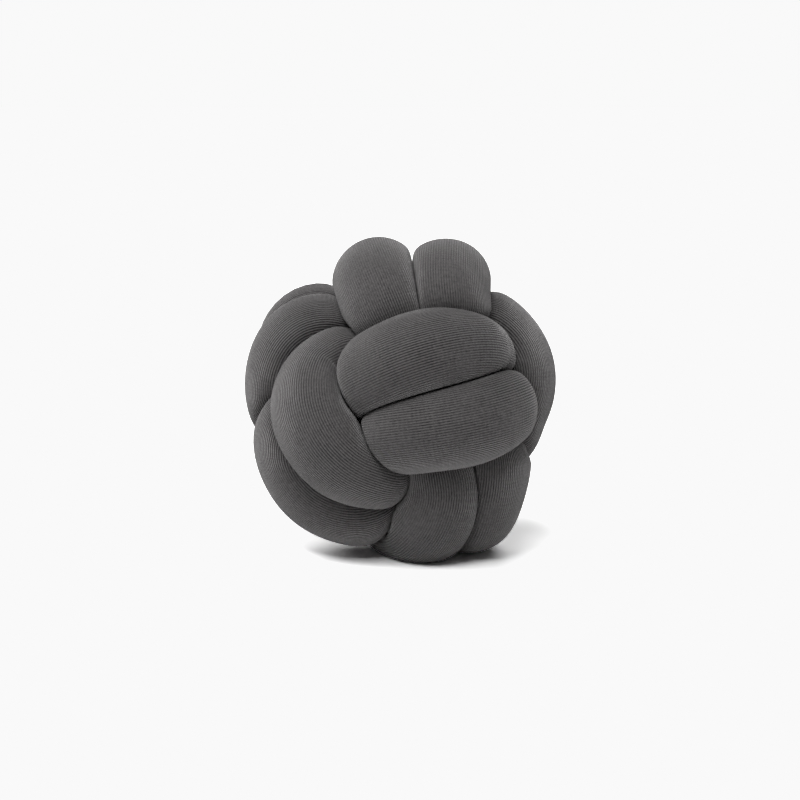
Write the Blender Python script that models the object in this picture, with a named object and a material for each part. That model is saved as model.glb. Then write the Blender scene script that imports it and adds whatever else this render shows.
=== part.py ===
"""Knot cushion: one long stuffed tube of knitted cloth, tied as a ball.

The tube makes two turns over the top and the bottom, two turns round the front and
the back, and two turns over the left and the right. Each pair of turns lies over one
of the other pairs and under the third. Both ends of the tube are tucked inside.

Units are metres, +Z is up, and the cushion's front faces -Y.
"""

import math

import bpy
import numpy as np
from mathutils import Euler, Vector
from mathutils.bvhtree import BVHTree

MM = 0.001

# Driving sizes
TUBE_RADIUS = 44 * MM  # of the stuffed tube where nothing presses on it
STRAND_GAP = 1.4 * MM  # left between two strands that lie against each other
FLAT_DEPTH = 14 * MM  # how much the cushion's own weight flattens it underneath

# How the knot lies on the surface, in degrees about X, Y and Z
KNOT_TURN = (-14.0, -7.0, 18.0)

# Mesh steps
RING_SPACING = 12.5 * MM
RING_SIDES = 16

# Each face of the knot: outwards, the way the tube runs over it, the way it runs under
FACES = {
    "front": ((0, -1, 0), (-1, 0, 0), (0, 0, -1)),
    "back": ((0, 1, 0), (1, 0, 0), (0, 0, 1)),
    "left": ((-1, 0, 0), (0, 0, -1), (0, 1, 0)),
    "right": ((1, 0, 0), (0, 0, 1), (0, -1, 0)),
    "top": ((0, 0, 1), (0, -1, 0), (-1, 0, 0)),
    "bottom": ((0, 0, -1), (0, 1, 0), (1, 0, 0)),
}

# One row for each fold of the tube, in its order along the tube. Lengths are in mm:
#   level   how far out the fold's crown lies from the middle of the ball
#   across  how far it lies to the side of the face's middle, which is towards -X on the
#           top and the bottom, +Z on the front and the back, +Y on the left and the right
#   ahead   how far it lies beyond the face's middle, the way the tube runs there
#   bend    radius of the arch that an over fold makes; 0 is a single point
#   turn    degrees that its run is turned in the face, anticlockwise from outside
#   lean    degrees that the arch leans from the face's outward direction
FOLDS = (
    # face, run, level, across, ahead, bend, turn, lean
    ("top", "under", 70, 40, 10, 0, 0, 0),
    ("left", "over", 62, 52, -105, 0, 0, 0),
    ("left", "over", 79, 60, -80, 0, 0, 0),
    ("left", "over", 74, 66, -46, 0, 0, 0),
    ("left", "under", 62, 60, -18, 0, 0, 0),
    ("back", "under", 28, 24, 0, 0, 0, 0),
    ("back", "under", 26, -10, 0, 0, 0, 0),
    ("back", "under", 48, -27, 10, 0, 0, 0),
    ("top", "over", 117, -61, 0, 56, -18, -12),
    ("front", "under", 50, -53, 0, 0, 0, 0),
    ("front", "under", 60, -54, 38, 0, 0, 0),
    ("bottom", "over", 105, -42, 1, 58, 3, 16),
    ("back", "under", 50, 14, 0, 0, 0, 0),
    ("top", "over", 130, 3, 0, 56, -18, 12),
    ("front", "under", 50, -9, 0, 0, 0, 0),
    ("front", "under", 60, -10, 36, 0, 0, 0),
    ("bottom", "over", 72, -11, -57, 0, 0, 0),
    ("bottom", "over", 97, 0, -36, 0, 0, 0),
    ("bottom", "over", 107, 10, 0, 0, 0, 0),
    ("bottom", "over", 101, 9, 33, 0, 0, 0),
    ("bottom", "over", 88, 14, 56, 0, 0, 0),
    ("back", "over", 80, -66, -20, 0, 0, 0),
    ("back", "over", 101, -40, -18, 0, 0, 0),
    ("back", "over", 107, -30, 14, 0, 0, 0),
    ("back", "over", 90, -25, 50, 0, 0, 0),
    ("right", "under", 54, -22, 0, 0, 0, 0),
    ("front", "over", 108, -18, -14, 54, 1, -8),
    ("left", "under", 38, -18, 0, 0, 0, 0),
    ("back", "over", 108, 32, 0, 56, -6, 12),
    ("right", "under", 54, 22, 0, 0, 0, 0),
    ("front", "over", 108, 44, -4, 46, 3, 14),
    ("left", "under", 54, 28, -14, 0, 0, 0),
    ("left", "over", 96, 10, -16, 0, 0, 0),
    ("left", "over", 106, 27, 12, 0, 0, 0),
    ("left", "over", 93, 28, 50, 0, 0, 0),
    ("left", "over", 58, 8, 79, 0, 0, 0),
    ("bottom", "under", 76, -8, -20, 0, 0, 0),
    ("bottom", "under", 48, 20, 6, 0, 0, 0),
    ("right", "over", 104, 32, 4, 56, 0, 12),
    ("top", "under", 38, 0, 0, 0, 0, 0),
    ("left", "over", 98, -46, 3, 47, 14, -22),
    ("bottom", "under", 50, -22, 0, 0, 0, 0),
    ("right", "over", 104, -32, 20, 54, 0, -12),
    ("top", "under", 60, 0, 0, 0, 0, 0),
    ("left", "over", 76, 15, -89, 0, 0, 0),
    ("left", "over", 96, 28, -62, 0, 0, 0),
    ("left", "over", 101, 42, -29, 0, 0, 0),
    ("left", "over", 85, 46, -1, 0, 0, 0),
    ("left", "under", 60, 36, 10, 0, 0, 0),
)
ARCH_ANGLES = (-75, -37, 0, 37, 75)  # degrees along an over fold's arch

# The route through the folds
SPLINE_STEPS = 24  # between two points of the table
ROUTE_SPACING = 8 * MM
SMOOTHING = 0.25  # of a point's bend, which takes it half way to its neighbours' middle
SMOOTHING_ROUNDS = 12
SPREADING = 0.125  # of the missing distance, in each round
SPREADING_ROUNDS = 40
INSIDE_SPACING = 34 * MM  # that the strands inside the ball are moved apart to
HELD_RADIUS = 92 * MM  # from the ball's middle, beyond which nothing is moved
HELD_SHARE = 0.25  # of that radius, over which the moving fades in
NEAR_TURNS = 100 * MM  # along the tube, within which two rings aren't two strands

# The tube's skin
REACH_OF_STRANDS = 2.2 * TUBE_RADIUS  # beyond which a strand doesn't press on another
END_SHARE = 0.1  # of the tube's radius, at its closed ends
EASING_ROUNDS = 60
EASING_STEP = 0.5 * MM
TINY = 1e-9

CLOTH_COLOUR = (0.085, 0.082, 0.078, 1)  # linear


def fold_points(face, run, level, across, ahead, bend, turn, lean):
    """The points of the tube's middle line that one fold gives, about the ball's middle."""
    out, over, under = (Vector(v) for v in FACES[face])
    along = over if run == "over" else under
    along.rotate(Euler([math.radians(turn) * c for c in out]))
    side = along.cross(out)
    crown = (out * level + side * across + along * ahead) * MM
    if not bend:
        return [crown]
    outward = out * math.cos(math.radians(lean)) + side * math.sin(math.radians(lean))
    centre = crown - outward * bend * MM
    angles = [math.radians(a) for a in ARCH_ANGLES]
    return [
        centre + (outward * math.cos(a) + along * math.sin(a)) * bend * MM
        for a in angles
    ]


def smooth_curve(points, steps):
    """A centripetal Catmull-Rom curve through the points, as an array."""
    p = np.array(points)
    p = np.vstack([2 * p[0] - p[1], p, 2 * p[-1] - p[-2]])
    knots = np.concatenate([[0], np.cumsum(np.linalg.norm(np.diff(p, axis=0), axis=1) ** 0.5)])
    curve = []
    for i in range(1, len(p) - 2):
        t0, t1, t2, t3 = knots[i - 1 : i + 3]
        t = np.linspace(t1, t2, steps, endpoint=False)[:, None]
        a1 = ((t1 - t) * p[i - 1] + (t - t0) * p[i]) / (t1 - t0)
        a2 = ((t2 - t) * p[i] + (t - t1) * p[i + 1]) / (t2 - t1)
        a3 = ((t3 - t) * p[i + 1] + (t - t2) * p[i + 2]) / (t3 - t2)
        b1 = ((t2 - t) * a1 + (t - t0) * a2) / (t2 - t0)
        b2 = ((t3 - t) * a2 + (t - t1) * a3) / (t3 - t1)
        curve.append(((t2 - t) * b1 + (t - t1) * b2) / (t2 - t1))
    return np.vstack(curve + [p[-2:-1]])


def evenly_spaced(curve, spacing):
    """The curve read again at equal distances along it."""
    lengths = np.concatenate([[0], np.cumsum(np.linalg.norm(np.diff(curve, axis=0), axis=1))])
    count = int(round(lengths[-1] / spacing)) + 1
    at = np.linspace(0, lengths[-1], count)
    return np.stack([np.interp(at, lengths, curve[:, k]) for k in range(3)], axis=1)


def bend_at(route):
    """From each inner point of the route to the sum of its two neighbours, less twice itself."""
    return route[:-2] - 2 * route[1:-1] + route[2:]


def spread_strands(route, spacing):
    """Move the strands inside the ball away from each other; those outside stay."""
    place = np.arange(len(route)) * spacing
    other = np.abs(place[:, None] - place) > NEAR_TURNS
    for _ in range(SPREADING_ROUNDS):
        between = route[:, None] - route
        apart = np.linalg.norm(between, axis=2) + TINY
        short = np.where(other, np.maximum(INSIDE_SPACING - apart, 0), 0)
        push = (between * (short / apart)[..., None]).sum(axis=1) * SPREADING
        push[1:-1] += bend_at(route) * SMOOTHING
        depth = 1 - np.linalg.norm(route, axis=1) / HELD_RADIUS
        route += push * np.clip(depth / HELD_SHARE, 0, 1)[:, None]


def tube_route(spacing):
    """The tube's middle line from end to end, turned as the knot lies."""
    points = [p for row in FOLDS for p in fold_points(*row)]
    route = evenly_spaced(smooth_curve(points, SPLINE_STEPS), ROUTE_SPACING)
    for _ in range(SMOOTHING_ROUNDS):
        route[1:-1] += bend_at(route) * SMOOTHING
    spread_strands(route, ROUTE_SPACING)
    route = evenly_spaced(route, spacing)
    turn = np.array(Euler([math.radians(a) for a in KNOT_TURN]).to_matrix())
    return route @ turn.T


def ring_frames(route):
    """Two unit vectors across the tube at each ring, carried along it without twist."""
    tangents = np.gradient(route, axis=0)
    tangents /= np.linalg.norm(tangents, axis=1)[:, None]
    first = np.cross(tangents[0], (0.0, 0.0, 1.0))
    normals = [first / np.linalg.norm(first)]
    for t in tangents[1:]:
        n = normals[-1] - t * np.dot(normals[-1], t)
        normals.append(n / np.linalg.norm(n))
    normals = np.array(normals)
    return normals, np.cross(tangents, normals)


def ring_reach(route, normals, binormals, sides, floor):
    """How far each ring's corners lie from the middle line: the tube's own radius, or half
    way to the nearest other strand, or the floor."""
    angles = np.arange(sides) * 2 * math.pi / sides
    rays = normals[:, None] * np.cos(angles)[None, :, None]
    rays = rays + binormals[:, None] * np.sin(angles)[None, :, None]
    spacing = np.linalg.norm(route[1] - route[0])
    place = np.arange(len(route)) * spacing
    reach = np.full(rays.shape[:2], TUBE_RADIUS)
    for i in range(len(route)):
        others = route[np.abs(place - place[i]) > NEAR_TURNS] - route[i]
        others = others[np.linalg.norm(others, axis=1) < REACH_OF_STRANDS]
        if len(others):
            facing = np.maximum(rays[i] @ others.T, TINY)
            half_way = (others**2).sum(axis=1) / (2 * facing)
            reach[i] = np.minimum(reach[i], half_way.min(axis=1) - STRAND_GAP / 2)
    down = np.maximum(-rays[..., 2], TINY)
    to_floor = (route[:, 2:3] - floor) / down
    from_end = np.minimum(place, place[-1] - place)
    rounding = 1 - np.clip(1 - from_end / TUBE_RADIUS, 0, 1) ** 2
    reach = reach * np.sqrt(np.maximum(rounding, END_SHARE**2))[:, None]
    return rays, np.minimum(reach, to_floor)


def ring_faces(count, sides):
    """The corner numbers of the triangles between each ring and the next."""
    i, j = np.meshgrid(np.arange(count - 1), np.arange(sides), indexing="ij")
    near = (i * sides + j).ravel()
    near_next = (i * sides + (j + 1) % sides).ravel()
    far = near + sides
    far_next = near_next + sides
    return np.vstack([
        np.stack([near, near_next, far_next], axis=1),
        np.stack([near, far_next, far], axis=1),
    ])


def ease_apart(route, rays, reach):
    """Draw in the corners of any two faces that cross, until none do."""
    faces = ring_faces(*reach.shape)
    for _ in range(EASING_ROUNDS):
        corners = (route[:, None] + rays * reach[..., None]).reshape(-1, 3)
        tree = BVHTree.FromPolygons(corners.tolist(), faces.tolist())
        pairs = tree.overlap(tree)
        if not pairs:
            return
        crossing = np.unique(faces[np.unique(pairs)])
        reach.reshape(-1)[crossing] -= EASING_STEP


def tube_points(spacing, sides):
    """Rings of points round the tube, standing on z = 0 with the box's middle at x = y = 0."""
    route = tube_route(spacing)
    normals, binormals = ring_frames(route)
    floor = route[:, 2].min() - TUBE_RADIUS + FLAT_DEPTH
    rays, reach = ring_reach(route, normals, binormals, sides, floor)
    ease_apart(route, rays, reach)
    rings = route[:, None] + rays * reach[..., None]
    flat = rings.reshape(-1, 3)
    middle = (flat.min(axis=0) + flat.max(axis=0)) / 2
    rings -= (middle[0], middle[1], floor)
    rings[..., 2] = np.where(rings[..., 2] < TINY, 0, rings[..., 2])
    return rings


def knitted_cloth():
    """Dark grey cloth, fully matt."""
    material = bpy.data.materials.new("charcoal_knit")
    material.use_nodes = True
    shader = material.node_tree.nodes["Principled BSDF"]
    shader.inputs["Base Color"].default_value = CLOTH_COLOUR
    shader.inputs["Roughness"].default_value = 0.95
    shader.inputs["Metallic"].default_value = 0.0
    return material


def stuffed_tube(collection):
    """The whole tube as one closed mesh, its two ends closed by fans."""
    rings = tube_points(RING_SPACING, RING_SIDES)
    end = (len(rings) - 1) * RING_SIDES
    faces = ring_faces(len(rings), RING_SIDES).tolist()
    for j in range(1, RING_SIDES - 1):
        faces.append([0, j + 1, j])
        faces.append([end, end + j, end + j + 1])
    mesh = bpy.data.meshes.new("stuffed_tube")
    mesh.from_pydata(rings.reshape(-1, 3).tolist(), [], faces)
    mesh.shade_smooth()
    mesh.materials.append(knitted_cloth())
    tube = bpy.data.objects.new("stuffed_tube", mesh)
    collection.objects.link(tube)


def main():
    for obj in list(bpy.data.objects):
        bpy.data.objects.remove(obj)
    cushion = bpy.data.collections.new("stuffed_tube")
    bpy.context.scene.collection.children.link(cushion)
    stuffed_tube(cushion)


main()
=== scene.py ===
"""Knot cushion: one long stuffed tube of fine knitted cloth, tied as a ball.

The tube makes two turns over the top and the bottom, two round the front and the back,
and two over the left and the right, each pair over one of the others and under the
third. Where two turns meet, the stuffed cloth gives way and closes to a thin crease.

Units are metres, +Z is up, and the cushion's front faces -Y.
"""

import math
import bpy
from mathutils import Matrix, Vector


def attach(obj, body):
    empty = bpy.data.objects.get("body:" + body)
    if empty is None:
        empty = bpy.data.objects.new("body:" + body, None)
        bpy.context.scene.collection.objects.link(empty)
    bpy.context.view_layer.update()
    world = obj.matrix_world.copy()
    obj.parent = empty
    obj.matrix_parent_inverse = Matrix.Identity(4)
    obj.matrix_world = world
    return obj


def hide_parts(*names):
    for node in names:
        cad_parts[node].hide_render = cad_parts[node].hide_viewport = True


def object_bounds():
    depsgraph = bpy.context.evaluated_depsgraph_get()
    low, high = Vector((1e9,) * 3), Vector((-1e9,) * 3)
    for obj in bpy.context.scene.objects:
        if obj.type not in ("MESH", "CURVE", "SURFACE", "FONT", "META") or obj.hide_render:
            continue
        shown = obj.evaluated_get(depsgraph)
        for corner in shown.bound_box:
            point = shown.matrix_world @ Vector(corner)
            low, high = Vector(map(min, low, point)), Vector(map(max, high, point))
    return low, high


bl_info = {
    "name": "Knot cushion",
    "version": (1, 0, 0),
    "blender": (4, 5, 0),
    "location": "3D View > Sidebar > Knot cushion",
    "description": "A cushion tied as a ball from one stuffed tube of knitted cloth",
    "category": "Add Mesh",
}

import bpy
import numpy as np
from bpy.props import FloatProperty, FloatVectorProperty, IntProperty, PointerProperty
from bpy.types import Operator, Panel, PropertyGroup
from mathutils import Euler, Vector

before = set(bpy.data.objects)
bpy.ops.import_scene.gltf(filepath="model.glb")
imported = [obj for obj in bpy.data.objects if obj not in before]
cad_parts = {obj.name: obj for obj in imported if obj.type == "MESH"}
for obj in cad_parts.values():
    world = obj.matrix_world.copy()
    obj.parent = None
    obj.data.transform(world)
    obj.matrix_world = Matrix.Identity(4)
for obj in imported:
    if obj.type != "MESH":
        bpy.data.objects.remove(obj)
CAD_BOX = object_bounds()

MM = 0.001
TINY = 1e-9
FULL_TURN = 2 * math.pi

# Each face of the knot: outwards, the way the tube runs over it, the way it runs under
FACES = {
    "front": ((0, -1, 0), (-1, 0, 0), (0, 0, -1)),
    "back": ((0, 1, 0), (1, 0, 0), (0, 0, 1)),
    "left": ((-1, 0, 0), (0, 0, -1), (0, 1, 0)),
    "right": ((1, 0, 0), (0, 0, 1), (0, -1, 0)),
    "top": ((0, 0, 1), (0, -1, 0), (-1, 0, 0)),
    "bottom": ((0, 0, -1), (0, 1, 0), (1, 0, 0)),
}

# One row for each fold of the tube, in its order along the tube. Lengths are in mm:
#   level   how far out the fold's crown lies from the middle of the ball
#   across  how far it lies to the side of the face's middle, which is towards -X on the
#           top and the bottom, +Z on the front and the back, +Y on the left and the right
#   ahead   how far it lies beyond the face's middle, the way the tube runs there
#   bend    radius of the arch that an over fold makes; 0 is a single point
#   turn    degrees that its run is turned in the face, anticlockwise from outside
#   lean    degrees that the arch leans from the face's outward direction
FOLDS = (
    # face, run, level, across, ahead, bend, turn, lean
    ("top", "under", 70, 40, 10, 0, 0, 0),
    ("left", "over", 62, 52, -105, 0, 0, 0),
    ("left", "over", 79, 60, -80, 0, 0, 0),
    ("left", "over", 74, 66, -46, 0, 0, 0),
    ("left", "under", 62, 60, -18, 0, 0, 0),
    ("back", "under", 28, 24, 0, 0, 0, 0),
    ("back", "under", 26, -10, 0, 0, 0, 0),
    ("back", "under", 48, -27, 10, 0, 0, 0),
    ("top", "over", 117, -61, 0, 56, -18, -12),
    ("front", "under", 50, -53, 0, 0, 0, 0),
    ("front", "under", 60, -54, 38, 0, 0, 0),
    ("bottom", "over", 105, -42, 1, 58, 3, 16),
    ("back", "under", 50, 14, 0, 0, 0, 0),
    ("top", "over", 130, 3, 0, 56, -18, 12),
    ("front", "under", 50, -9, 0, 0, 0, 0),
    ("front", "under", 60, -10, 36, 0, 0, 0),
    ("bottom", "over", 72, -11, -57, 0, 0, 0),
    ("bottom", "over", 97, 0, -36, 0, 0, 0),
    ("bottom", "over", 107, 10, 0, 0, 0, 0),
    ("bottom", "over", 101, 9, 33, 0, 0, 0),
    ("bottom", "over", 88, 14, 56, 0, 0, 0),
    ("back", "over", 80, -66, -20, 0, 0, 0),
    ("back", "over", 101, -40, -18, 0, 0, 0),
    ("back", "over", 107, -30, 14, 0, 0, 0),
    ("back", "over", 90, -25, 50, 0, 0, 0),
    ("right", "under", 54, -22, 0, 0, 0, 0),
    ("front", "over", 108, -18, -14, 54, 1, -8),
    ("left", "under", 38, -18, 0, 0, 0, 0),
    ("back", "over", 108, 32, 0, 56, -6, 12),
    ("right", "under", 54, 22, 0, 0, 0, 0),
    ("front", "over", 108, 44, -4, 46, 3, 14),
    ("left", "under", 54, 28, -14, 0, 0, 0),
    ("left", "over", 96, 10, -16, 0, 0, 0),
    ("left", "over", 106, 27, 12, 0, 0, 0),
    ("left", "over", 93, 28, 50, 0, 0, 0),
    ("left", "over", 58, 8, 79, 0, 0, 0),
    ("bottom", "under", 76, -8, -20, 0, 0, 0),
    ("bottom", "under", 48, 20, 6, 0, 0, 0),
    ("right", "over", 104, 32, 4, 56, 0, 12),
    ("top", "under", 38, 0, 0, 0, 0, 0),
    ("left", "over", 98, -46, 3, 47, 14, -22),
    ("bottom", "under", 50, -22, 0, 0, 0, 0),
    ("right", "over", 104, -32, 20, 54, 0, -12),
    ("top", "under", 60, 0, 0, 0, 0, 0),
    ("left", "over", 76, 15, -89, 0, 0, 0),
    ("left", "over", 96, 28, -62, 0, 0, 0),
    ("left", "over", 101, 42, -29, 0, 0, 0),
    ("left", "over", 85, 46, -1, 0, 0, 0),
    ("left", "under", 60, 36, 10, 0, 0, 0),
)
ARCH_ANGLES = (-75, -37, 0, 37, 75)  # degrees along an over fold's arch
KNOT_TURN = (-14.0, -7.0, 18.0)  # how the knot lies on the surface, degrees about X, Y, Z

# The route through the folds
SPLINE_STEPS = 24  # between two points of the table
ROUTE_SPACING = 8 * MM
SMOOTHING = 0.25  # of a point's bend, which takes it half way to its neighbours' middle
SMOOTHING_ROUNDS = 12
SPREADING = 0.125  # of the missing distance, in each round
SPREADING_ROUNDS = 40
INSIDE_SPACING = 34 * MM  # that the strands inside the ball are moved apart to
HELD_RADIUS = 92 * MM  # from the ball's middle, beyond which nothing is moved
HELD_SHARE = 0.25  # of that radius, over which the moving fades in
NEAR_TURNS = 100 * MM  # along the tube, within which two rings aren't two strands

# The tube's skin
END_SHARE = 0.1  # of the tube's radius, at its closed ends
FREE_ROOM = 3.0  # tube radii that a ray may go where no strand is near
PRESSING = 2.6  # tube radii between middle lines, beyond which strands don't press
CREASE_GAP = 1.0 * MM  # between two turns that lie against each other, dark from outside
LEAST_GAP = 0.3 * MM  # that softening the skin leaves between them
CREASE_ROUNDS = 3  # of evening out how far the skin reaches
FLOOR_ROUNDING = 1.0 * MM  # of the edge of the flattened spot
CROWDED = (0.4, 0.8)  # of the rings' even distance: fully eased below, not at all above
CROWDED_ROUNDS = 6  # of evening out where the skin is eased

# The lumps of the filling, a sum of waves over the tube
LUMP_SEED = 7
LUMP_WAVES = 24
LUMP_TURNS = 4  # fewer than this many crests round the tube
LUMP_RINGS = (14, 46)  # rings from crest to crest along the tube

# The skin's picture map: the tube in strips side by side, each from margin to margin
BAKE_STRIPS = 4
BAKE_MARGIN = 0.02
BAKE_TIP = 0.004  # where the middle of a closed end lies, in the margin
BAKE_RIM = 0.018  # where its edge lies

# The knit. Ribs are 0 high in the groove and 1 on the crown
RIB_FULLNESS = 0.7  # power of the wave: below 1, crowns are broad and grooves narrow
RIB_MIDDLE = 0.6  # height that a brushed rib is flattened towards
RIB_KEPT = (0.3, 1.4)  # of its height, in the most and the least brushed patches
PATCH_RANGE = (0.38, 0.62)  # the patches' noise where they are most and least brushed
PATCH_START = (0.13, 1.52, 1.18)  # in the noise, which places the patches
STITCH_SLANT = 1.6  # stitches that a leg climbs along, for each rib across
STITCH_HEIGHT = 0.14  # of the rib's
FIBRE_HEIGHT = 0.7  # of the rib's
# Worn patches, tufts of hairs that are coarser than real ones so that they show, and dye
PATCHES = {"Scale": 1 / (62.5 * MM), "Detail": 8, "Roughness": 0.66}
FIBRES = {"Scale": 1 / (3.125 * MM), "Detail": 4, "Roughness": 0.75}
CLOUDS = {"Scale": 1 / (35.7 * MM), "Detail": 2}

# How much each of them lightens the yarn, from the groove's painted shade to the crown's colour;
# the knit's share is painted shade in the grooves between ribs
GROOVE_SHADE_SHARE = 0.9
FIBRE_SHADE = 1.3
CLOUD_SHADE = 0.25
SHADE_START = -0.65

# The studio
FLOOR_SIZE = 40
LIGHTS = (
    # name, degrees of softness, degrees to the left of the camera, degrees over the horizon
    ("key_light", 25, 12, 56),
    ("left_light", 30, 60, 64),
    ("side_light", 30, 100, 50),
    ("right_light", 30, -50, 60),
    ("back_light", 30, 180, 30),
)

CAMERA_TARGET = Vector((0, 0, 146 * MM))
CAMERA_DISTANCE = 1813 * MM
CAMERA_ELEVATION = 10.0
LENS_MM = 85
SENSOR_MM = 36


def linear(hex_colour):
    """A colour such as "#6E6B67", given in sRGB, as linear red, green and blue."""
    values = [int(hex_colour[i : i + 2], 16) / 255 for i in (1, 3, 5)]
    return tuple(v / 12.92 if v <= 0.04045 else ((v + 0.055) / 1.055) ** 2.4 for v in values)


class KnotCushionTube(PropertyGroup):
    radius: FloatProperty(
        name="Tube radius",
        description="Radius of the stuffed tube where nothing presses on it",
        default=44 * MM,
        subtype="DISTANCE",
    )
    flat_depth: FloatProperty(
        name="Flattened by",
        description="How much the cushion's own weight flattens it underneath",
        default=14 * MM,
        subtype="DISTANCE",
    )
    crease: FloatProperty(
        name="Crease softness",
        description="Distance over which the cloth turns into the crease between two turns",
        default=2.5 * MM,
        subtype="DISTANCE",
    )
    lumps: FloatProperty(
        name="Stuffing unevenness",
        description="Height of the soft lumps that the fibre filling makes",
        default=0.7 * MM,
        subtype="DISTANCE",
    )
    easing: IntProperty(
        name="Easing", description="Rounds of smoothing of the skin inside bends", default=24
    )
    rings: IntProperty(
        name="Rings", description="Rings of points along the tube", default=1000, min=100
    )
    sides: IntProperty(
        name="Sides", description="Points in each ring round the tube", default=96, min=12
    )


class KnotCushionCloth(PropertyGroup):
    colour: FloatVectorProperty(
        name="Yarn colour",
        description="Colour of the yarn on the crown of each rib",
        subtype="COLOR",
        default=linear("#5B5959"),
    )
    # painted shade: the dark colour that the grooves between ribs are painted towards, for the
    # shade that falls there
    groove_shade_colour: FloatVectorProperty(
        name="Groove colour",
        description="Colour deep between two ribs, where little light comes",
        subtype="COLOR",
        default=linear("#201E1F"),
    )
    fuzz_colour: FloatVectorProperty(
        name="Fuzz colour",
        description="Colour of the fine fibres that stand out of the yarn",
        subtype="COLOR",
        default=linear("#D6D4D4"),
    )
    wales: IntProperty(
        name="Ribs", description="Ribs of the knit round the tube", default=118, min=10
    )
    course: FloatProperty(
        name="Stitch length",
        description="Length of one stitch along the tube",
        default=2.1 * MM,
        subtype="DISTANCE",
    )
    relief: FloatProperty(
        name="Rib height",
        description="Height of a rib over the groove beside it",
        default=0.8 * MM,
        subtype="DISTANCE",
    )


class KnotCushionStage(PropertyGroup):
    floor_colour: FloatVectorProperty(
        name="Floor colour",
        description="Colour of the pale studio floor",
        subtype="COLOR",
        default=linear("#F0F0F0"),
    )
    floor_glare: FloatProperty(
        name="Floor glare",
        description="How much brighter than its colour the camera sees the floor",
        default=1.9,
    )
    white: FloatProperty(
        name="White",
        description="Brightness that everything overexposed comes out at",
        default=0.947,
    )
    key_light: FloatProperty(
        name="Key light", description="Strength of the light in front, on the left", default=1.65
    )
    left_light: FloatProperty(
        name="Left light", description="Strength of the light high on the left", default=0.95
    )
    side_light: FloatProperty(
        name="Side light", description="Strength of the light from the left side", default=1.05
    )
    right_light: FloatProperty(
        name="Right light", description="Strength of the light high on the right", default=0.55
    )
    back_light: FloatProperty(
        name="Back light", description="Strength of the light behind the cushion", default=1.2
    )
    sky: FloatProperty(
        name="Room light", description="Brightness of the light from all round", default=0.07
    )


def fold_points(face, run, level, across, ahead, bend, turn, lean):
    """The points of the tube's middle line that one fold gives, about the ball's middle."""
    out, over, under = (Vector(v) for v in FACES[face])
    along = over if run == "over" else under
    along.rotate(Euler([math.radians(turn) * c for c in out]))
    side = along.cross(out)
    crown = (out * level + side * across + along * ahead) * MM
    if not bend:
        return [crown]
    outward = out * math.cos(math.radians(lean)) + side * math.sin(math.radians(lean))
    centre = crown - outward * bend * MM
    angles = [math.radians(a) for a in ARCH_ANGLES]
    return [
        centre + (outward * math.cos(a) + along * math.sin(a)) * bend * MM
        for a in angles
    ]


def smooth_curve(points, steps):
    """A centripetal Catmull-Rom curve through the points, as an array."""
    p = np.array(points)
    p = np.vstack([2 * p[0] - p[1], p, 2 * p[-1] - p[-2]])
    knots = np.concatenate([[0], np.cumsum(np.linalg.norm(np.diff(p, axis=0), axis=1) ** 0.5)])
    curve = []
    for i in range(1, len(p) - 2):
        t0, t1, t2, t3 = knots[i - 1 : i + 3]
        t = np.linspace(t1, t2, steps, endpoint=False)[:, None]
        a1 = ((t1 - t) * p[i - 1] + (t - t0) * p[i]) / (t1 - t0)
        a2 = ((t2 - t) * p[i] + (t - t1) * p[i + 1]) / (t2 - t1)
        a3 = ((t3 - t) * p[i + 1] + (t - t2) * p[i + 2]) / (t3 - t2)
        b1 = ((t2 - t) * a1 + (t - t0) * a2) / (t2 - t0)
        b2 = ((t3 - t) * a2 + (t - t1) * a3) / (t3 - t1)
        curve.append(((t2 - t) * b1 + (t - t1) * b2) / (t2 - t1))
    return np.vstack(curve + [p[-2:-1]])


def read_evenly(curve, count):
    """The curve read again at so many equal steps along it."""
    lengths = np.concatenate([[0], np.cumsum(np.linalg.norm(np.diff(curve, axis=0), axis=1))])
    at = np.linspace(0, lengths[-1], count)
    return np.stack([np.interp(at, lengths, curve[:, k]) for k in range(3)], axis=1)


def bend_at(route):
    """From each inner ring of a route or a skin to the sum of its neighbours, less twice
    itself."""
    return route[:-2] - 2 * route[1:-1] + route[2:]


def spread_strands(route, spacing):
    """Move the strands inside the ball away from each other; those outside stay."""
    place = np.arange(len(route)) * spacing
    other = np.abs(place[:, None] - place) > NEAR_TURNS
    for _ in range(SPREADING_ROUNDS):
        between = route[:, None] - route
        apart = np.linalg.norm(between, axis=2) + TINY
        short = np.where(other, np.maximum(INSIDE_SPACING - apart, 0), 0)
        push = (between * (short / apart)[..., None]).sum(axis=1) * SPREADING
        push[1:-1] += bend_at(route) * SMOOTHING
        depth = 1 - np.linalg.norm(route, axis=1) / HELD_RADIUS
        route += push * np.clip(depth / HELD_SHARE, 0, 1)[:, None]


def tube_route(count):
    """The tube's middle line from end to end, turned as the knot lies."""
    curve = smooth_curve([p for row in FOLDS for p in fold_points(*row)], SPLINE_STEPS)
    length = np.linalg.norm(np.diff(curve, axis=0), axis=1).sum()
    route = read_evenly(curve, int(round(length / ROUTE_SPACING)) + 1)
    for _ in range(SMOOTHING_ROUNDS):
        route[1:-1] += bend_at(route) * SMOOTHING
    spread_strands(route, ROUTE_SPACING)
    route = read_evenly(smooth_curve(route, SPLINE_STEPS), count)
    turn = np.array(Euler([math.radians(a) for a in KNOT_TURN]).to_matrix())
    return route @ turn.T


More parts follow.
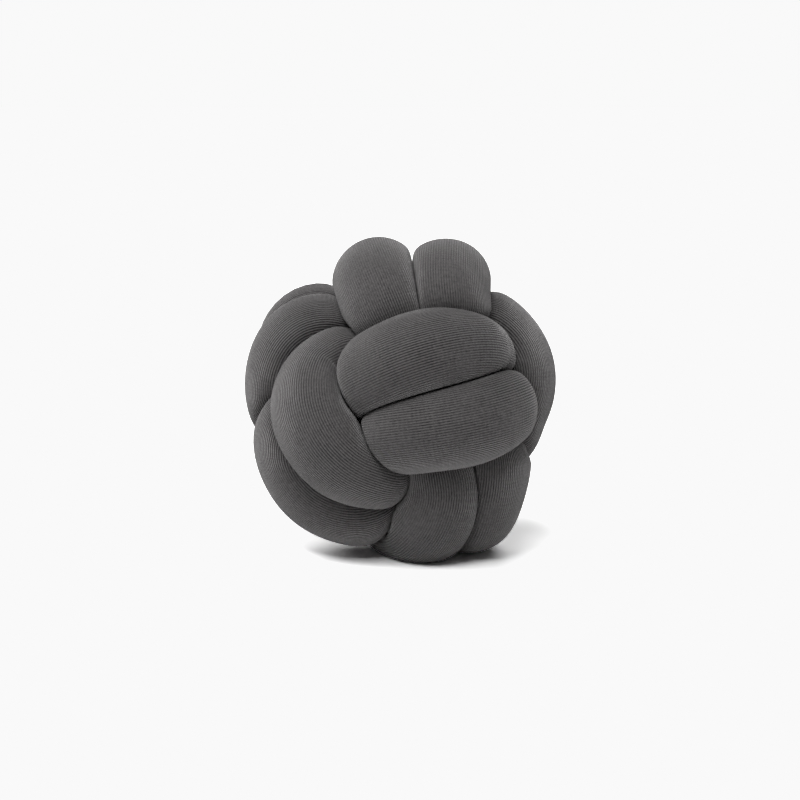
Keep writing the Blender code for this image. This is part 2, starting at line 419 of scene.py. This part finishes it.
def ring_rays(route, sides):
    """Unit vectors from the middle line to each corner, carried along it without twist."""
    tangents = np.gradient(route, axis=0)
    tangents /= np.linalg.norm(tangents, axis=1)[:, None]
    first = np.cross(tangents[0], (0.0, 0.0, 1.0))
    normals = [first / np.linalg.norm(first)]
    for t in tangents[1:]:
        n = normals[-1] - t * np.dot(normals[-1], t)
        normals.append(n / np.linalg.norm(n))
    normals = np.array(normals)
    binormals = np.cross(tangents, normals)
    angles = np.arange(sides) * FULL_TURN / sides
    rays = normals[:, None] * np.cos(angles)[None, :, None]
    return rays + binormals[:, None] * np.sin(angles)[None, :, None]


def softer_of(a, b, width):
    """The smaller of two distances, with the corner between them rounded over a width."""
    low = np.minimum(a, b)
    return low - width * np.log1p(np.exp(-np.abs(a - b) / width))


def half_way(route, rays, radius):
    """How far each ray goes before it is half way to another strand."""
    place = np.arange(len(route)) * np.linalg.norm(route[1] - route[0])
    room = np.full(rays.shape[:2], FREE_ROOM * radius)
    for i in range(len(route)):
        others = route[np.abs(place - place[i]) > NEAR_TURNS] - route[i]
        others = others[np.linalg.norm(others, axis=1) < PRESSING * radius]
        if len(others):
            facing = np.maximum(rays[i] @ others.T, TINY)
            room[i] = np.minimum(room[i], ((others**2).sum(axis=1) / (2 * facing)).min(axis=1))
    return room


def even_out(values, rounds):
    """Soften a field over the tube's rings and sides, and return it."""
    for _ in range(rounds):
        values[1:-1] += bend_at(values) * SMOOTHING
        beside = np.roll(values, 1, axis=1) + np.roll(values, -1, axis=1)
        values += (beside - 2 * values) * SMOOTHING
    return values


def ease_bends(rings, step, rounds):
    """Smooth the skin along the tube where its rings crowd together inside a bend."""
    crowded = np.linalg.norm(rings[2:] - rings[:-2], axis=2) / (2 * step)
    share = even_out(np.interp(crowded, CROWDED, (1, 0)), CROWDED_ROUNDS)[..., None]
    for _ in range(rounds):
        rings[1:-1] += share * bend_at(rings) * SMOOTHING


def stuffing_lumps(count, sides):
    """The uneven swelling of the filling at each ring and side, about 1 high."""
    ring = np.linspace(0, count, count)[:, None]
    around = np.arange(sides) * FULL_TURN / sides
    waves = np.random.default_rng(LUMP_SEED)
    field = np.zeros((count, sides))
    for _ in range(LUMP_WAVES):
        turns = waves.integers(0, LUMP_TURNS)
        pitch = waves.uniform(*LUMP_RINGS)
        start = waves.uniform(0, FULL_TURN)
        field += np.sin(FULL_TURN * ring / pitch + turns * around + start)
    return field / LUMP_WAVES**0.5


def tube_skin(shape):
    """Rings of points round the tube, standing on z = 0 in the middle of the part's box,
    and how far along the tube each ring lies."""
    route = tube_route(shape.rings)
    rays = ring_rays(route, shape.sides)
    room = half_way(route, rays, shape.radius)
    free = shape.radius + shape.lumps * stuffing_lumps(shape.rings, shape.sides)
    reach = softer_of(free, room - CREASE_GAP / 2, shape.crease)
    reach = np.minimum(even_out(reach, CREASE_ROUNDS), room - LEAST_GAP / 2)

    # the closed ends are round
    length = np.linalg.norm(np.diff(route, axis=0), axis=1).sum()
    place = np.linspace(0, length, len(route))
    from_end = np.minimum(place, length - place)
    rounding = 1 - np.clip(1 - from_end / shape.radius, 0, 1) ** 2
    reach = reach * np.sqrt(np.maximum(rounding, END_SHARE**2))[:, None]

    # the cushion is flat where it rests
    floor = route[:, 2].min() - shape.radius + shape.flat_depth
    to_floor = (route[:, 2:3] - floor) / np.maximum(-rays[..., 2], TINY)
    reach = softer_of(reach, to_floor, FLOOR_ROUNDING)

    rings = route[:, None] + rays * reach[..., None]
    ease_bends(rings, np.linalg.norm(route[1] - route[0]), shape.easing)
    flat = rings.reshape(-1, 3)
    low, high = flat.min(axis=0), flat.max(axis=0)
    middle = (CAD_BOX[0] + CAD_BOX[1]) / 2
    rings -= ((low[0] + high[0]) / 2 - middle[0], (low[1] + high[1]) / 2 - middle[1], low[2])
    return rings, place


def set_map(mesh, name, u, v):
    """Give the mesh a UV map, from two values for each corner of each face."""
    layer = mesh.uv_layers.new(name=name, do_init=False)
    layer.data.foreach_set("uv", np.stack([u, v], axis=1).ravel().astype(np.float32))


def tube_mesh(name, rings, place, cloth):
    """One closed mesh of the rings, with a map of the knit and a map for pictures of it."""
    count, sides = rings.shape[:2]
    points = np.vstack([rings.reshape(-1, 3), rings[0].mean(axis=0), rings[-1].mean(axis=0)])
    start, end, last_ring = count * sides, count * sides + 1, (count - 1) * sides

    ring, side = (grid.ravel() for grid in np.indices((count - 1, sides)))
    quad_rings = np.stack([ring, ring, ring + 1, ring + 1], axis=1)
    quad_sides = np.stack([side, side + 1, side + 1, side], axis=1)
    quads = quad_rings * sides + quad_sides % sides
    around = range(sides)
    caps = [(start, (k + 1) % sides, k) for k in around]
    caps += [(end, last_ring + k, last_ring + (k + 1) % sides) for k in around]
    mesh = bpy.data.meshes.new(name)
    mesh.from_pydata(points.tolist(), [], quads.tolist() + caps)
    mesh.shade_smooth()

    # the ring and the side of each corner; at a cap's middle, half way between two sides
    cap_sides = [(k + 0.5, k + 1, k) for k in around] + [(k + 0.5, k, k + 1) for k in around]
    ring_at = np.concatenate([quad_rings.ravel(), np.repeat([0, count - 1], 3 * sides)])
    side_at = np.concatenate([quad_sides.ravel(), np.ravel(cap_sides)]) / sides
    set_map(mesh, "knit", side_at * cloth.wales, place[ring_at] / cloth.course)

    strip_rings = (count - 1) / BAKE_STRIPS
    strip = np.minimum(ring // strip_rings, BAKE_STRIPS - 1)
    strip_at = np.concatenate([np.repeat(strip, 4), np.repeat([0, BAKE_STRIPS - 1], 3 * sides)])
    width = 1 - 2 * BAKE_MARGIN
    x = BAKE_MARGIN + width * (ring_at / strip_rings - strip_at)
    y = (strip_at + BAKE_MARGIN + width * side_at) / BAKE_STRIPS
    cap_x = np.array([BAKE_TIP, BAKE_RIM, BAKE_RIM])
    x[-6 * sides :] = np.repeat([cap_x, 1 - cap_x], sides, axis=0).ravel()
    set_map(mesh, "OFBake", x, y)
    mesh.uv_layers["knit"].active_render = True
    mesh.uv_layers.active = mesh.uv_layers["knit"]
    return mesh


def add_node(tree, kind, inputs=(), **settings):
    """Add a node with its settings. Each input, by name or number, gets a value or a link
    from another node's output, and a node there stands for its first output."""
    node = tree.nodes.new(kind)
    for key, value in settings.items():
        setattr(node, key, value)
    for socket, value in dict(inputs).items():
        if isinstance(value, bpy.types.Node):
            value = value.outputs[0]
        if isinstance(value, bpy.types.NodeSocket):
            tree.links.new(value, node.inputs[socket])
        else:
            node.inputs[socket].default_value = value
    return node


def bare_tree(owner):
    """The node tree of a material or a world, emptied."""
    owner.use_nodes = True
    owner.node_tree.nodes.clear()
    return owner.node_tree


def brushed_ribs(tree, across, spot):
    """Height of the ribs, 0 in a groove and 1 on a crown, which wear has brushed flatter in
    patches."""
    wave = add_node(tree, "ShaderNodeMath", {0: across, 1: FULL_TURN}, operation="MULTIPLY")
    wave = add_node(tree, "ShaderNodeMath", {0: wave}, operation="COSINE")
    rib = add_node(tree, "ShaderNodeMath", {0: wave, 1: -0.5, 2: 0.5}, operation="MULTIPLY_ADD")
    rib = add_node(tree, "ShaderNodeMath", {0: rib, 1: RIB_FULLNESS}, operation="POWER")
    moved = add_node(tree, "ShaderNodeMapping", {"Vector": spot, "Location": PATCH_START})
    patches = add_node(tree, "ShaderNodeTexNoise", {"Vector": moved, **PATCHES})
    inputs = {
        "Value": patches,
        "From Min": PATCH_RANGE[0],
        "From Max": PATCH_RANGE[1],
        "To Min": RIB_KEPT[0],
        "To Max": RIB_KEPT[1],
    }
    kept = add_node(tree, "ShaderNodeMapRange", inputs)
    over = add_node(tree, "ShaderNodeMath", {0: rib, 1: RIB_MIDDLE}, operation="SUBTRACT")
    inputs = {0: over, 1: kept, 2: RIB_MIDDLE}
    return add_node(tree, "ShaderNodeMath", inputs, operation="MULTIPLY_ADD")


def stitched_ribs(tree, rib, across, along):
    """Height of the ribs with their stitches, whose two legs slant towards the crown."""
    fold = add_node(tree, "ShaderNodeMath", {0: across, 1: 0.5}, operation="PINGPONG")
    inputs = {0: fold, 1: -STITCH_SLANT, 2: along}
    slant = add_node(tree, "ShaderNodeMath", inputs, operation="MULTIPLY_ADD")
    wave = add_node(tree, "ShaderNodeMath", {0: slant, 1: FULL_TURN}, operation="MULTIPLY")
    wave = add_node(tree, "ShaderNodeMath", {0: wave}, operation="COSINE")
    leg = add_node(tree, "ShaderNodeMath", {0: wave, 1: STITCH_HEIGHT}, operation="MULTIPLY")
    return add_node(tree, "ShaderNodeMath", {0: leg, 1: rib, 2: rib}, operation="MULTIPLY_ADD")


def groove_shade_fibres_and_dye(tree, knit, fibres, spot):
    """How light the yarn is painted: painted shade darkens it in the grooves, it is darker between
    fibres, and its dye is uneven.
    """
    clouds = add_node(tree, "ShaderNodeTexNoise", {"Vector": spot, **CLOUDS})
    shade = SHADE_START
    for part, share in ((knit, GROOVE_SHADE_SHARE), (fibres, FIBRE_SHADE), (clouds, CLOUD_SHADE)):
        inputs = {0: part, 1: share, 2: shade}
        shade = add_node(tree, "ShaderNodeMath", inputs, operation="MULTIPLY_ADD")
    return shade


def jersey_knit(cloth):
    """Charcoal wool-blend jersey, machine knitted: ribs of slanting stitches run along the
    tube, matt, with a fine pale fuzz, the sheen, that catches light at the edges of each
    turn."""
    material = bpy.data.materials.new("charcoal_wool_jersey")
    tree = bare_tree(material)
    place = add_node(tree, "ShaderNodeUVMap", uv_map="knit")
    across, along, _ = add_node(tree, "ShaderNodeSeparateXYZ", {0: place}).outputs
    spot = add_node(tree, "ShaderNodeTexCoord").outputs["Object"]
    fibres = add_node(tree, "ShaderNodeTexNoise", {"Vector": spot, **FIBRES})
    knit = stitched_ribs(tree, brushed_ribs(tree, across, spot), across, along)
    inputs = {0: fibres, 1: FIBRE_HEIGHT, 2: knit}
    height = add_node(tree, "ShaderNodeMath", inputs, operation="MULTIPLY_ADD")
    inputs = {"Strength": 1, "Distance": cloth.relief, "Height": height}
    relief = add_node(tree, "ShaderNodeBump", inputs)
    # painted shade: the yarn's colour is mixed towards the dark groove colour in the grooves
    # between ribs
    inputs = {
        "Factor": groove_shade_fibres_and_dye(tree, knit, fibres, spot),
        6: (*cloth.groove_shade_colour, 1),
        7: (*cloth.colour, 1),
    }
    yarn = add_node(tree, "ShaderNodeMix", inputs, data_type="RGBA")
    inputs = {
        "Base Color": yarn.outputs[2],
        "Roughness": 0.95,
        "Specular IOR Level": 0.2,
        "Sheen Weight": 0.55,
        "Sheen Roughness": 0.45,
        "Sheen Tint": (*cloth.fuzz_colour, 1),
        "Normal": relief,
    }
    shader = add_node(tree, "ShaderNodeBsdfPrincipled", inputs)
    add_node(tree, "ShaderNodeOutputMaterial", {"Surface": shader})
    return material


def end_tree(tree, output, lit, seen):
    """End the tree in its output, so that light meets one shader and the camera another."""
    way = add_node(tree, "ShaderNodeLightPath").outputs["Is Camera Ray"]
    mix = add_node(tree, "ShaderNodeMixShader", {0: way, 1: lit, 2: seen})
    add_node(tree, output, {"Surface": mix})


def floor_paint(stage):
    """Matt pale floor, lit so strongly that the camera sees it white but for the dark
    under the cushion."""
    material = bpy.data.materials.new("matt_floor_paint")
    tree = bare_tree(material)
    colour = stage.floor_colour
    glare = [c * stage.floor_glare for c in colour]
    lit = add_node(tree, "ShaderNodeBsdfDiffuse", {"Color": (*colour, 1)})
    seen = add_node(tree, "ShaderNodeBsdfDiffuse", {"Color": (*glare, 1)})
    end_tree(tree, "ShaderNodeOutputMaterial", lit, seen)
    return material


def studio_world(stage):
    """Faint light from all round, and white behind the floor."""
    world = bpy.data.worlds.new("studio")
    tree = bare_tree(world)
    white = (1, 1, 1, 1)
    lit = add_node(tree, "ShaderNodeBackground", {"Color": white, "Strength": stage.sky})
    seen = add_node(tree, "ShaderNodeBackground", {"Color": white, "Strength": 1})
    end_tree(tree, "ShaderNodeOutputWorld", lit, seen)
    return world


def add_sun(name, strength, softness, azimuth, elevation):
    """A light far off, its azimuth measured to the left of the camera."""
    bpy.ops.object.light_add(type="SUN")
    light = bpy.context.object
    light.name = name
    light.data.energy = strength
    light.data.angle = softness
    level = math.cos(elevation)
    towards = Vector((-math.sin(azimuth) * level, -math.cos(azimuth) * level, math.sin(elevation)))
    light.rotation_euler = towards.to_track_quat("Z", "Y").to_euler()


def add_camera():
    """The camera, where the photograph was taken from."""
    elevation = math.radians(CAMERA_ELEVATION)
    back = Vector((0, -math.cos(elevation), math.sin(elevation)))
    bpy.ops.object.camera_add(location=CAMERA_TARGET + back * CAMERA_DISTANCE)
    camera = bpy.context.object
    camera.rotation_euler = back.to_track_quat("Z", "Y").to_euler()
    camera.data.lens = LENS_MM
    camera.data.sensor_width = SENSOR_MM
    return camera


class KNOTCUSHION_OT_tube(Operator):
    """Make the stuffed tube and tie it as a ball"""

    bl_idname = "knot_cushion.tube"
    bl_label = "Stuffed tube"

    def execute(self, context):
        scene = context.scene
        rings, place = tube_skin(scene.knot_tube)
        mesh = tube_mesh("knitted_tube", rings, place, scene.knot_cloth)
        mesh.materials.append(jersey_knit(scene.knot_cloth))
        tube = bpy.data.objects.new("knitted_tube", mesh)
        scene.collection.objects.link(tube)
        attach(tube, "root")
        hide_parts("stuffed_tube")
        return {"FINISHED"}


class KNOTCUSHION_OT_stage(Operator):
    """Make the floor, the lights and the camera"""

    bl_idname = "knot_cushion.stage"
    bl_label = "Studio stage"

    def execute(self, context):
        scene = context.scene
        stage = scene.knot_stage
        bpy.ops.object.select_all(action="DESELECT")
        bpy.ops.mesh.primitive_plane_add(size=FLOOR_SIZE)
        floor = context.object
        floor.name = "studio_floor"
        floor.data.materials.append(floor_paint(stage))
        scene.world = studio_world(stage)
        for name, *angles in LIGHTS:
            add_sun(name, getattr(stage, name), *(math.radians(a) for a in angles))
        scene.camera = add_camera()
        scene.view_settings.view_transform = "Standard"
        scene.view_settings.use_curve_mapping = True
        curves = scene.view_settings.curve_mapping
        curves.extend = "HORIZONTAL"
        curves.curves[3].points[-1].location = (1, stage.white)
        curves.update()
        return {"FINISHED"}


class KNOTCUSHION_PT_panel(Panel):
    bl_label = "Knot cushion"
    bl_idname = "KNOTCUSHION_PT_panel"
    bl_space_type = "VIEW_3D"
    bl_region_type = "UI"
    bl_category = "Knot cushion"

    def draw(self, context):
        layout = self.layout
        for group in ("knot_tube", "knot_cloth", "knot_stage"):
            box = layout.box()
            settings = getattr(context.scene, group)
            for name in settings.__annotations__:
                box.prop(settings, name)
        layout.operator(KNOTCUSHION_OT_tube.bl_idname)
        layout.operator(KNOTCUSHION_OT_stage.bl_idname)


CLASSES = (
    KnotCushionTube,
    KnotCushionCloth,
    KnotCushionStage,
    KNOTCUSHION_OT_tube,
    KNOTCUSHION_OT_stage,
    KNOTCUSHION_PT_panel,
)


def register():
    for cls in CLASSES:
        bpy.utils.register_class(cls)
    bpy.types.Scene.knot_tube = PointerProperty(type=KnotCushionTube)
    bpy.types.Scene.knot_cloth = PointerProperty(type=KnotCushionCloth)
    bpy.types.Scene.knot_stage = PointerProperty(type=KnotCushionStage)


def unregister():
    del bpy.types.Scene.knot_stage
    del bpy.types.Scene.knot_cloth
    del bpy.types.Scene.knot_tube
    for cls in reversed(CLASSES):
        bpy.utils.unregister_class(cls)


def main():
    register()
    bpy.ops.knot_cushion.tube()
    bpy.ops.knot_cushion.stage()


if __name__ == "__main__":
    main()
